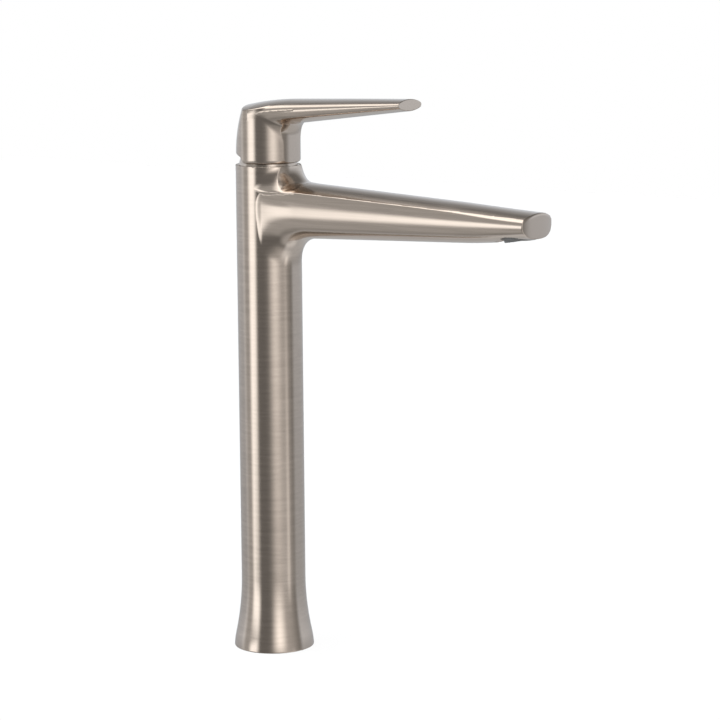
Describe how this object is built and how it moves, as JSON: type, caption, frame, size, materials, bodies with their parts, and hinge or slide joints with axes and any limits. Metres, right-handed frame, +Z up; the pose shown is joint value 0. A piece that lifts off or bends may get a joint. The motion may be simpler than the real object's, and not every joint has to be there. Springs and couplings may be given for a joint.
{
  "type": "single-lever basin mixer faucet",
  "caption": "Tall deck-mounted basin mixer: slim round column with a flared foot, closed tapered spout, swivel outlet under its tip and a flat lever on top.",
  "frame": {"origin": "centre of the foot's face on the deck", "axes": "+Z up along the column, +X along the spout and the lever at rest, +Y to the left of the spout"},
  "size_m": [0.219, 0.05, 0.3463],
  "materials": {
    "nickel_body": "warm nickel, fine brush lines round the column and along the spout",
    "nickel_handle": "warm nickel, fine brush lines along the lever",
    "nickel_dome": "warm nickel, fine turning lines",
    "raw_brass": "turned, uncoated",
    "base_rubber": "moulded",
    "seal_rubber": "moulded",
    "cartridge_plastic": "moulded, fine grain",
    "carrier_plastic": "moulded, fine grain",
    "washer_plastic": "smooth",
    "disc_ceramic": "lapped",
    "pin_steel": "turned",
    "plug_plastic": "moulded",
    "outlet_plastic": "moulded, dark grey",
    "grid_plastic": "moulded, dark grey"
  },
  "bodies": {
    "faucet_body": {"body_shell": "nickel_body", "base_insert": "raw_brass", "base_seal": "base_rubber", "cartridge_base": "cartridge_plastic", "port_seals": "seal_rubber", "housing_seal": "seal_rubber", "cartridge_housing": "cartridge_plastic", "fixed_disc": "disc_ceramic", "nut_washer": "washer_plastic", "retaining_nut": "raw_brass", "dome_cover": "nickel_dome", "aerator_seal": "seal_rubber", "aerator_holder": "outlet_plastic", "aerator_ring": "outlet_plastic"},
    "swing_collar": {"stem_guide": "carrier_plastic", "stem_pin": "pin_steel"},
    "handle": {"lever_handle": "nickel_handle", "control_stem": "raw_brass", "grub_screw": "pin_steel", "screw_plug": "plug_plastic"},
    "disc_slider": {"disc_carrier": "carrier_plastic", "moving_disc": "disc_ceramic"},
    "outlet_ball": {"aerator_ball": "outlet_plastic", "stream_grid": "grid_plastic", "inlet_screen": "grid_plastic"}
  },
  "joints": [
    {"name": "handle_swing", "type": "hinge", "parent": "faucet_body", "child": "swing_collar", "pos_m": [0, 0, 0.3], "axis": [0, 0, 1], "range_deg": [-45, 45]},
    {"name": "handle_lift", "type": "hinge", "parent": "swing_collar", "child": "handle", "pos_m": [0, 0, 0.3], "axis": [0, -1, 0], "range_deg": [0, 20]},
    {"name": "disc_slide", "type": "slide", "parent": "swing_collar", "child": "disc_slider", "axis": [1, 0, 0], "range_m": [0, 0.005]},
    {"name": "aerator_tilt", "type": "hinge", "parent": "faucet_body", "child": "outlet_ball", "pos_m": [0.1795, 0, 0.27062], "axis": [0, 1, 0], "range_deg": [-8, 8]}
  ],
  "couplings": [
    {"joint": "disc_slide", "follows": "handle_lift", "m_per_rad": 0.014128}
  ]
}
